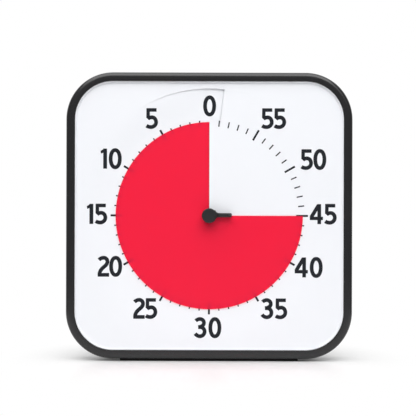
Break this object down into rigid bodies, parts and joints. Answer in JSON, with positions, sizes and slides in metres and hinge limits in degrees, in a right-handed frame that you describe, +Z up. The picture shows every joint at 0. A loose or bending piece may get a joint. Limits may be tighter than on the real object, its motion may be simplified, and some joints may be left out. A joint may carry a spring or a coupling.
{
  "type": "visual countdown timer",
  "caption": "Square visual countdown timer with a black bezel, a white slit dial and a red disc turned by a central pointer hub; fold-out feet behind.",
  "frame": {"origin": "underside of the rubber strip below the middle of the case, on the table", "axes": "+X to the right seen from the front, +Y from the dial to the back, +Z up"},
  "size_m": [0.305, 0.1065, 0.3075],
  "materials": {
    "case_black": "moulded, fine texture",
    "hub_black": "moulded, satin",
    "card_white": "printed, satin",
    "disc_red": "satin film",
    "support_grey": "moulded",
    "movement_grey": "moulded",
    "wheel_ivory": "moulded",
    "steel": "bright",
    "soft_iron": "stamped",
    "magnet_dark": "ground",
    "copper_wire": "enamelled",
    "brass": "rolled",
    "ceramic_white": "fired, silvered",
    "board_green": "lacquered",
    "chip_black": "moulded",
    "can_silver": "drawn",
    "cell_jacket": "printed jacket",
    "lead_jacket": "smooth insulation",
    "pad_rubber": "matt"
  },
  "bodies": {
    "case": {"front_bezel": "case_black", "dial_card": "card_white", "dial_support": "support_grey", "rear_housing": "case_black", "case_screws": "steel", "stator": "soft_iron", "coil": "copper_wire", "movement_cover": "movement_grey", "movement_base": "movement_grey", "alarm_contact": "brass", "circuit_board": "board_green", "control_chip": "chip_black", "quartz_crystal": "can_silver", "storage_capacitor": "can_silver", "support_screws": "steel", "aa_cell": "cell_jacket", "positive_contact": "steel", "negative_contact": "steel", "battery_spring": "steel", "sound_switch_body": "movement_grey", "buzzer_plate": "brass", "buzzer_ceramic": "ceramic_white", "battery_leads": "lead_jacket", "buzzer_leads": "lead_jacket", "switch_leads": "lead_jacket", "motor_leads": "lead_jacket", "foot_pins": "steel", "base_strip": "pad_rubber"},
    "pointer": {"pointer_hub": "hub_black", "disc_ring": "hub_black", "centre_arbor": "steel", "centre_wheel": "wheel_ivory", "clutch_spring": "steel", "alarm_cam": "wheel_ivory"},
    "disc": {"red_disc": "disc_red"},
    "third_wheel_body": {"third_wheel": "wheel_ivory"},
    "second_wheel_body": {"second_wheel": "wheel_ivory"},
    "rotor": {"rotor_pinion": "wheel_ivory", "rotor_magnet": "magnet_dark"},
    "door": {"battery_door": "case_black"},
    "switch_knob": {"sound_switch_knob": "hub_black"},
    "left_foot_body": {"left_foot": "case_black", "left_foot_pad": "pad_rubber"},
    "right_foot_body": {"right_foot": "case_black", "right_foot_pad": "pad_rubber"}
  },
  "joints": [
    {"name": "disc_turn", "type": "hinge", "parent": "case", "child": "pointer", "pos_m": [0, 0, 0.155], "axis": [0, 1, 0], "range_deg": [-90, 270]},
    {"name": "disc_shift", "type": "slide", "parent": "pointer", "child": "disc", "axis": [0, 1, 0], "range_m": [-0.00051, 0.00151]},
    {"name": "third_wheel_spin", "type": "hinge", "parent": "case", "child": "third_wheel_body", "pos_m": [-0.00182, 0, 0.14466], "axis": [0, 1, 0], "range_deg": [-1621, 541]},
    {"name": "second_wheel_spin", "type": "hinge", "parent": "case", "child": "second_wheel_body", "pos_m": [0.00663, 0, 0.14158], "axis": [0, 1, 0], "range_deg": [-2701, 8101]},
    {"name": "rotor_spin", "type": "hinge", "parent": "case", "child": "rotor", "pos_m": [0.01525, 0, 0.1431], "axis": [0, 1, 0], "range_deg": [-48601, 16201]},
    {"name": "door_swing", "type": "hinge", "parent": "case", "child": "door", "pos_m": [0, 0.01905, 0.0755], "axis": [1, 0, 0], "range_deg": [0, 80]},
    {"name": "sound_switch", "type": "slide", "parent": "case", "child": "switch_knob", "axis": [1, 0, 0], "range_m": [0, 0.003]},
    {"name": "left_foot_fold", "type": "hinge", "parent": "case", "child": "left_foot_body", "pos_m": [-0.085, 0.016, 0.007], "axis": [1, 0, 0], "range_deg": [0, 90]},
    {"name": "right_foot_fold", "type": "hinge", "parent": "case", "child": "right_foot_body", "pos_m": [0.085, 0.016, 0.007], "axis": [1, 0, 0], "range_deg": [0, 90]}
  ],
  "couplings": [
    {"joint": "disc_shift", "follows": "disc_turn", "m_per_rad": 0.00031831},
    {"joint": "third_wheel_spin", "follows": "disc_turn", "ratio": -6},
    {"joint": "second_wheel_spin", "follows": "disc_turn", "ratio": 30},
    {"joint": "rotor_spin", "follows": "disc_turn", "ratio": -180}
  ]
}
